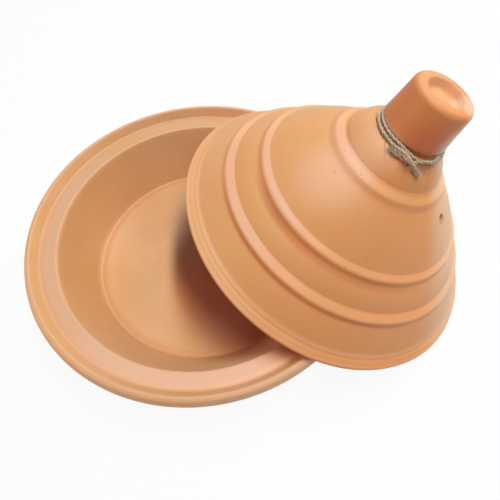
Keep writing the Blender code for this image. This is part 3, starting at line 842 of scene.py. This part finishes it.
# %% Jute
def jute(name):
    """Streaks of dark and pale along the ply, with duller patches, and the same streaks as a relief."""
    n = Nodes(name)
    along, around = n.stored("along"), n.stored("around")
    streak = n.add("ShaderNodeCombineXYZ", ("X", n.maths("MULTIPLY", along, 0.25)), ("Y", around))
    fibres = n.noise(streak, 3.0, 4.0, 0.7)
    place = n.add("ShaderNodeTexCoord", output=3)
    patches = n.noise(place, 260.0, 2.0)
    colour = n.blend(n.between(fibres, 0.35, 0.65), tint(160, 136, 114), tint(246, 230, 212))
    colour = n.blend(n.between(patches, 0.40, 0.65, 0.0, 0.5), colour, tint(204, 184, 162))
    n.tree.links.new(colour, n.shader.inputs["Base Color"])
    n.shader.inputs["Roughness"].default_value = 0.9
    n.shader.inputs["Specular IOR Level"].default_value = 0.2
    bump = n.add("ShaderNodeBump", ("Strength", 0.7), ("Distance", 0.0002), ("Height", fibres))
    n.tree.links.new(bump, n.shader.inputs["Normal"])
    return n.material


jute_twine = jute("jute twine")

# %% Make the twine
PLY_SHIFT = {"along": 500.0, "around": 9.0}
twine, used = joined("twine_surface", plies, jute_twine)
folded = np.abs(np.arange(SIDES) - SIDES / 2.0) / 1.6
along = np.concatenate([np.repeat(twine_way, SIDES), [0.0, twine_way[-1]]])
around = np.concatenate([np.tile(folded, len(twine_way)), [0.0, 0.0]])
for key, values in (("along", along), ("around", around)):
    mark(twine, used, key, np.concatenate([values, values + PLY_SHIFT[key]]))
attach(twine, "lid")
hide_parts("neck_twine")

# %% [markdown]
# ## Stray fibres
#
# Jute is hairy: single fibres stand off the plies, and both cut ends are frayed. Each fibre is a
# very thin bent tube with three sides. They are all worked out at once, as one array of fibres by
# steps by sides, which costs little even for hundreds.

# %% Grow the fibres
def fibres(roots, heading, curl, length, thickness, steps=7):
    """Bent hairs: root + heading s + curl s^2, with s from 0 to the length, three-sided, tapering."""
    s = np.linspace(0.0, 1.0, steps)[None, :, None] * length[:, None, None]
    line = roots[:, None] + heading[:, None] * s + curl[:, None] * s ** 2
    ahead = unit(heading[:, None] + 2.0 * curl[:, None] * s)
    helper = np.where(abs(ahead[..., 2:]) < 0.8, np.array([0.0, 0.0, 1.0]), np.array([1.0, 0.0, 0.0]))
    out = unit(np.cross(ahead, helper))
    across = np.cross(ahead, out)
    b = np.arange(3) * 2.0 * math.pi / 3.0
    taper = np.linspace(1.0, 0.35, steps)[None, :, None, None] * thickness[:, None, None, None] / 2.0
    skin = line[:, :, None] + taper * (np.cos(b)[:, None] * out[:, :, None]
                                       + np.sin(b)[:, None] * across[:, :, None])
    ring = quads(steps, 3).reshape(-1, 4)[:, ::-1]
    ends = np.array([[2, 1, 0], [0, 1, 2]]) + np.array([[0], [3 * (steps - 1)]])
    shift = np.arange(len(roots))[:, None, None] * 3 * steps
    return skin.reshape(-1, 3), (ring + shift).reshape(-1, 4), (ends[:, ::-1] + shift).reshape(-1, 3)


chance = np.random.default_rng(7)
STRAY = 460
pick = chance.integers(4, len(twine_path) - 4, STRAY)
b = chance.uniform(-1.9, 1.9, STRAY)[:, None]
away = np.cos(b) * twine_out[pick] + np.sin(b) * twine_across[pick]
roots = twine_path[pick] + 0.75 * away
lift = chance.uniform(0.10, 0.8, (STRAY, 1))
heading = unit(away * lift + twine_ahead[pick] * chance.choice([-1.0, 1.0], (STRAY, 1)))
curl = chance.normal(0.0, 0.06, (STRAY, 3)) + 0.02 * away
length = chance.uniform(1.5, 7.0, STRAY)
grown = [fibres(roots, heading, curl, length, chance.uniform(0.05, 0.11, STRAY))]
print("stray fibres:", STRAY)

# %% Fray the two ends
TUFT = 220
for end, way in ((0, -1.0), (-1, 1.0)):
    back = chance.integers(0, 14, TUFT)
    spot = back if end == 0 else len(twine_path) - 1 - back
    spread = chance.normal(0.0, 0.62, (TUFT, 2))
    sideways = spread[:, :1] * twine_out[spot] + spread[:, 1:] * twine_across[spot]
    heading = unit(way * twine_ahead[spot] + 0.22 * sideways)
    curl = chance.normal(0.0, 0.03, (TUFT, 3))
    length = chance.uniform(1.6, 4.0, TUFT)
    grown.append(fibres(twine_path[spot] + sideways, heading, curl, length,
                        chance.uniform(0.12, 0.22, TUFT)))
hair, used = joined("twine_fibres", grown, jute_twine)
total = sum(len(tube[0]) for tube in grown)
mark(hair, used, "along", np.linspace(0.0, 300.0, total))
mark(hair, used, "around", np.full(total, 3.0))
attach(hair, "lid")

# %% [markdown]
# ## Fluff and a hair
#
# Rough clay catches what the twine sheds. Pale fluff clings to the shoulder just below it, and one
# dark hair is stuck there too. Painted on, they would lie flat, so they are grown like the fibres.
# The fluff lies down the slope of the shoulder and curls sideways. The hair is a parabola through a
# start, a middle and an end. At a share t of its way it has gone (4 middle - 3 start - end) t and
# 2 (start - 2 middle + end) t^2 from its start.

# %% Pale fluff that clings to the shoulder below the twine
FLUFF = 90
SHOULDER, SLOPE = (26.3, 95.3), 1.1
LEFT_BUNCH, RIGHT_BUNCH, LEFT_SHARE = (238.0, 260.0), (268.0, 308.0), 0.35


def dull(name, shade, roughness):
    """A plain dull material of one colour."""
    n = Nodes(name)
    n.shader.inputs["Base Color"].default_value = tint(*shade)
    n.shader.inputs["Roughness"].default_value = roughness
    return n.material


in_left = chance.random(FLUFF) < LEFT_SHARE
left, right = chance.uniform(*LEFT_BUNCH, FLUFF), chance.uniform(*RIGHT_BUNCH, FLUFF)
turn = np.radians(np.where(in_left, left, right))
radial = np.stack([np.cos(turn), np.sin(turn), 0.0 * turn], axis=1)
beside = np.stack([-np.sin(turn), np.cos(turn), 0.0 * turn], axis=1)
axis = np.array([0.0, 0.0, 1.0])
reach = chance.uniform(25.8, 28.3, (FLUFF, 1))
roots = reach * radial + (SHOULDER[1] - SLOPE * (reach - SHOULDER[0])) * axis
heading = unit(0.67 * radial - 0.66 * axis + chance.normal(0.0, 0.5, (FLUFF, 1)) * beside)
curl = chance.normal(0.0, 0.16, (FLUFF, 1)) * beside + chance.normal(0.0, 0.03, (FLUFF, 1)) * axis
length = chance.uniform(1.4, 3.6, FLUFF)
clinging = fibres(roots, heading, curl, length, chance.uniform(0.10, 0.17, FLUFF))
fluff, _ = joined("pale_fluff", [clinging], dull("pale fluff", (248, 220, 202), 0.9))
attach(fluff, "lid")

# %% A dark hair stuck to the shoulder
HAIR = ((23.9, 96.9, 205.0), (27.8, 93.9, 217.5), (31.4, 89.9, 230.0))
HAIR_THICK, HAIR_STEPS = 0.22, 14
start, middle, end = [round_lid(*place) for place in HAIR]
length = np.linalg.norm(end - start)
heading = (4.0 * middle - 3.0 * start - end) / length
curl = 2.0 * (start - 2.0 * middle + end) / length ** 2
strand = fibres(start[None], heading[None], curl[None], np.array([length]), np.array([HAIR_THICK]),
                HAIR_STEPS)
loose, _ = joined("loose_hair", [strand], dull("dark hair", (128, 70, 48), 0.8))
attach(loose, "lid")

# %% [markdown]
# ## Floor and light
#
# The floor is white and large. Seen by the camera it shines by itself, just enough to come out
# white, and still takes the pots' soft shadow. The light comes from one long soft box overhead, warm
# at its front end and cool at its back end, so it is built as three lamps. A low warm lamp on the
# left reaches into the bowl, one behind on the right draws the far edges, and a weak cool one in
# front on the right opens the shadows there, with the help of a faint blue sky.

# %% Floor
FLOOR_HALF = 6.0


def white_floor(name):
    """White paint that shines by itself for camera, glossy and transmitted rays, and takes shadows."""
    n = Nodes(name)
    n.shader.inputs["Base Color"].default_value = tint(235, 235, 235)
    n.shader.inputs["Roughness"].default_value = 0.9
    path = n.tree.nodes.new("ShaderNodeLightPath")
    seen = n.maths("MAXIMUM", path.outputs["Is Camera Ray"], path.outputs["Is Glossy Ray"])
    seen = n.maths("MAXIMUM", seen, path.outputs["Is Transmission Ray"])
    glow = n.add("ShaderNodeEmission", ("Color", (1.0, 1.0, 1.0, 1.0)), ("Strength", 1.0))
    mixed = n.add("ShaderNodeMixShader", (0, n.maths("MULTIPLY", seen, 0.93)),
                  (1, n.shader.outputs[0]), (2, glow))
    n.tree.links.new(mixed, n.tree.nodes["Material Output"].inputs["Surface"])
    return n.material


floor_mesh = bpy.data.meshes.new("floor")
corners = [(FLOOR_HALF * x, FLOOR_HALF * y, 0.0) for x, y in ((-1, -1), (1, -1), (1, 1), (-1, 1))]
floor_mesh.from_pydata(corners, [], [(0, 1, 2, 3)])
floor_mesh.materials.append(white_floor("white floor"))
floor = bpy.data.objects.new("floor", floor_mesh)
bpy.context.scene.collection.objects.link(floor)
print("floor:", 2.0 * FLOOR_HALF, "m wide")


# %% Light
POTS_MIDDLE = np.array([0.03, 0.0, 0.03])


def soft_lamp(name, towards, distance, size, level, colour):
    """An oblong lamp that faces the pots; its power is level times pi times distance squared.

    It stands in the direction `towards` from the pots, and its second size runs along Y.
    """
    data = bpy.data.lights.new(name, "AREA")
    data.shape = "RECTANGLE"
    data.size, data.size_y = size
    data.energy = level * math.pi * distance ** 2
    data.color = colour
    lamp = bpy.data.objects.new(name, data)
    bpy.context.scene.collection.objects.link(lamp)
    back = unit(np.array(towards, float))
    along = unit(np.array([0.0, 1.0, 0.0]) - back[1] * back)
    turn = np.eye(4)
    turn[:3, :3] = np.stack([np.cross(along, back), along, back], axis=1)
    turn[:3, 3] = POTS_MIDDLE + distance * back
    lamp.matrix_world = Matrix(turn.tolist())
    print(f"{name}: {data.energy:.1f} W")


for part, aside, level, colour in (("front", -0.27, 0.88, (1.0, 0.74, 0.52)),
                                   ("middle", 0.03, 1.48, (0.78, 1.0, 0.80)),
                                   ("back", 0.33, 1.05, (0.66, 0.70, 1.0))):
    soft_lamp("long box overhead, " + part, (0.27, aside, 1.0), 1.6, (0.17, 0.5), level, colour)
soft_lamp("low from the left", (-1.0, -0.10, 0.14), 1.5, (0.5, 0.7), 1.1, (1.0, 0.70, 0.35))
soft_lamp("from the right and behind", (0.62, 0.62, 0.50), 1.5, (0.6, 0.6), 0.85, (1.0, 0.95, 0.55))
soft_lamp("from the front and right", (0.55, -0.75, 0.32), 1.5, (0.5, 0.5), 0.20, (0.45, 0.80, 1.0))

# %% Sky
SKY_BLUE, SKY_WHITE = ((0.35, 0.35, 1.0, 1.0), 0.06), ((1.0, 1.0, 1.0, 1.0), 1.0)
world = bpy.data.worlds.new("bright room")
bpy.context.scene.world = world
world.use_nodes = True
tree = world.node_tree
path = tree.nodes.new("ShaderNodeLightPath")
seen = path.outputs["Is Camera Ray"]
for kind in ("Is Glossy Ray", "Is Transmission Ray"):
    larger = tree.nodes.new("ShaderNodeMath")
    larger.operation = "MAXIMUM"
    tree.links.new(seen, larger.inputs[0])
    tree.links.new(path.outputs[kind], larger.inputs[1])
    seen = larger.outputs[0]
mixed = tree.nodes.new("ShaderNodeMixShader")
tree.links.new(seen, mixed.inputs[0])
for socket, (colour, strength) in ((1, SKY_BLUE), (2, SKY_WHITE)):
    sky = tree.nodes.new("ShaderNodeBackground")
    sky.inputs["Color"].default_value = colour
    sky.inputs["Strength"].default_value = strength
    tree.links.new(sky.outputs[0], mixed.inputs[socket])
tree.links.new(mixed.outputs[0], tree.nodes["World Output"].inputs["Surface"])
print("sky:", SKY_BLUE[1], "in the room,", SKY_WHITE[1], "behind it")
